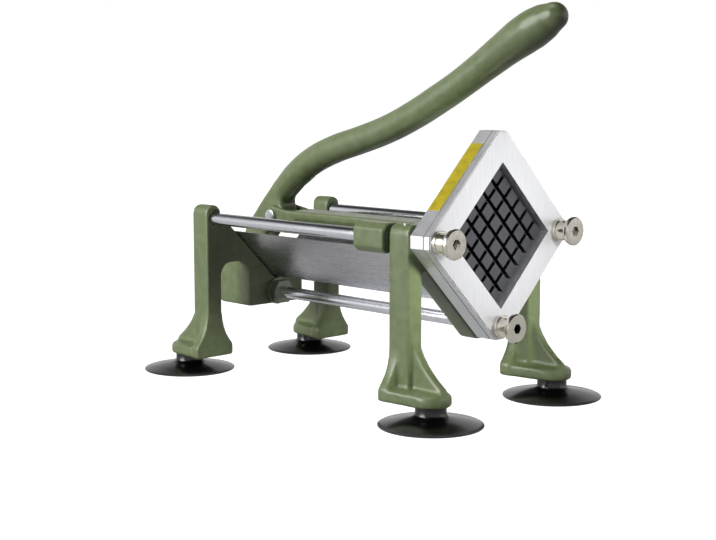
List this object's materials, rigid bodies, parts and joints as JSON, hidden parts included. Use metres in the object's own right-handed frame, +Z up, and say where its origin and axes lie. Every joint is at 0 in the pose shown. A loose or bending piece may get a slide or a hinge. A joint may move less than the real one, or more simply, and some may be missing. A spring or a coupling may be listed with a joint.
{
  "type": "french fry cutter",
  "caption": "Lever french fry cutter: green cast brackets and handle on suction feet, rod-guided carriage pushing a pegged block through a square blade head.",
  "frame": {"origin": "on the table, under the middle of the overall length and width", "axes": "+Z up, -Y the blade end where the fries come out, +X to the right seen from the blade end"},
  "size_m": [0.2146, 0.3828, 0.2985],
  "materials": {
    "green_casting": "satin sage green paint on a casting",
    "plated_rod": "bright plated",
    "plated_nut": "bright plated",
    "steel_fixing": "zinc grey",
    "trough_sheet": "brushed stainless",
    "head_metal": "satin polished",
    "blade_steel": "ground",
    "yellow_strip": "blank yellow film",
    "black_plastic": "satin black",
    "black_rubber": "soft glossy black"
  },
  "bodies": {
    "base": {"front_bracket": "green_casting", "rear_bracket": "green_casting", "guide_rod_left": "plated_rod", "guide_rod_right": "plated_rod", "lower_rod": "plated_rod", "lower_rod_nut": "steel_fixing", "rod_set_screw_left": "steel_fixing", "rod_set_screw_right": "steel_fixing", "trough": "trough_sheet", "head_seat": "head_metal", "label_strip": "yellow_strip", "cassette_frame": "head_metal", "blade_rising_1": "blade_steel", "blade_rising_2": "blade_steel", "blade_rising_3": "blade_steel", "blade_rising_4": "blade_steel", "blade_rising_5": "blade_steel", "blade_falling_1": "blade_steel", "blade_falling_2": "blade_steel", "blade_falling_3": "blade_steel", "blade_falling_4": "blade_steel", "blade_falling_5": "blade_steel", "anchor_pin_left": "steel_fixing", "anchor_pin_right": "steel_fixing", "suction_cup_front_left": "black_rubber", "suction_cup_front_right": "black_rubber", "suction_cup_rear_left": "black_rubber", "suction_cup_rear_right": "black_rubber", "cup_stud_front_left": "steel_fixing", "cup_stud_front_right": "steel_fixing", "cup_stud_rear_left": "steel_fixing", "cup_stud_rear_right": "steel_fixing"},
    "carriage_slider": {"carriage": "green_casting", "push_block": "black_plastic", "push_screw_left": "steel_fixing", "push_screw_right": "steel_fixing", "handle_bolt": "steel_fixing", "handle_bolt_nut": "steel_fixing"},
    "lever": {"handle": "green_casting", "heel_pin": "steel_fixing"},
    "links": {"link_left": "blade_steel", "link_right": "blade_steel"},
    "nut_left": {"thumb_nut_left": "plated_nut"},
    "nut_right": {"thumb_nut_right": "plated_nut"},
    "nut_bottom": {"thumb_nut_bottom": "plated_nut"}
  },
  "joints": [
    {"name": "carriage_slide", "type": "slide", "parent": "base", "child": "carriage_slider", "axis": [0, 1, 0], "range_m": [0, 0.1035]},
    {"name": "handle_swing", "type": "hinge", "parent": "carriage_slider", "child": "lever", "pos_m": [0, 0.10811, 0.131], "axis": [-1, 0, 0], "range_deg": [0, 62]},
    {"name": "link_swing", "type": "hinge", "parent": "base", "child": "links", "pos_m": [0, 0.15711, 0.091], "axis": [1, 0, 0], "range_deg": [0, 106.5]},
    {"name": "nut_left_spin", "type": "hinge", "parent": "base", "child": "nut_left", "pos_m": [-0.067, -0.14389, 0.131], "axis": [0, -1, 0], "continuous": true},
    {"name": "nut_right_spin", "type": "hinge", "parent": "base", "child": "nut_right", "pos_m": [0.067, -0.14389, 0.131], "axis": [0, -1, 0], "continuous": true},
    {"name": "nut_bottom_spin", "type": "hinge", "parent": "base", "child": "nut_bottom", "pos_m": [0, -0.14389, 0.064], "axis": [0, -1, 0], "continuous": true}
  ],
  "couplings": [
    {"joint": "carriage_slide", "follows": "handle_swing", "m_per_rad": 0.095475},
    {"joint": "link_swing", "follows": "handle_swing", "ratio": 1.7072}
  ]
}
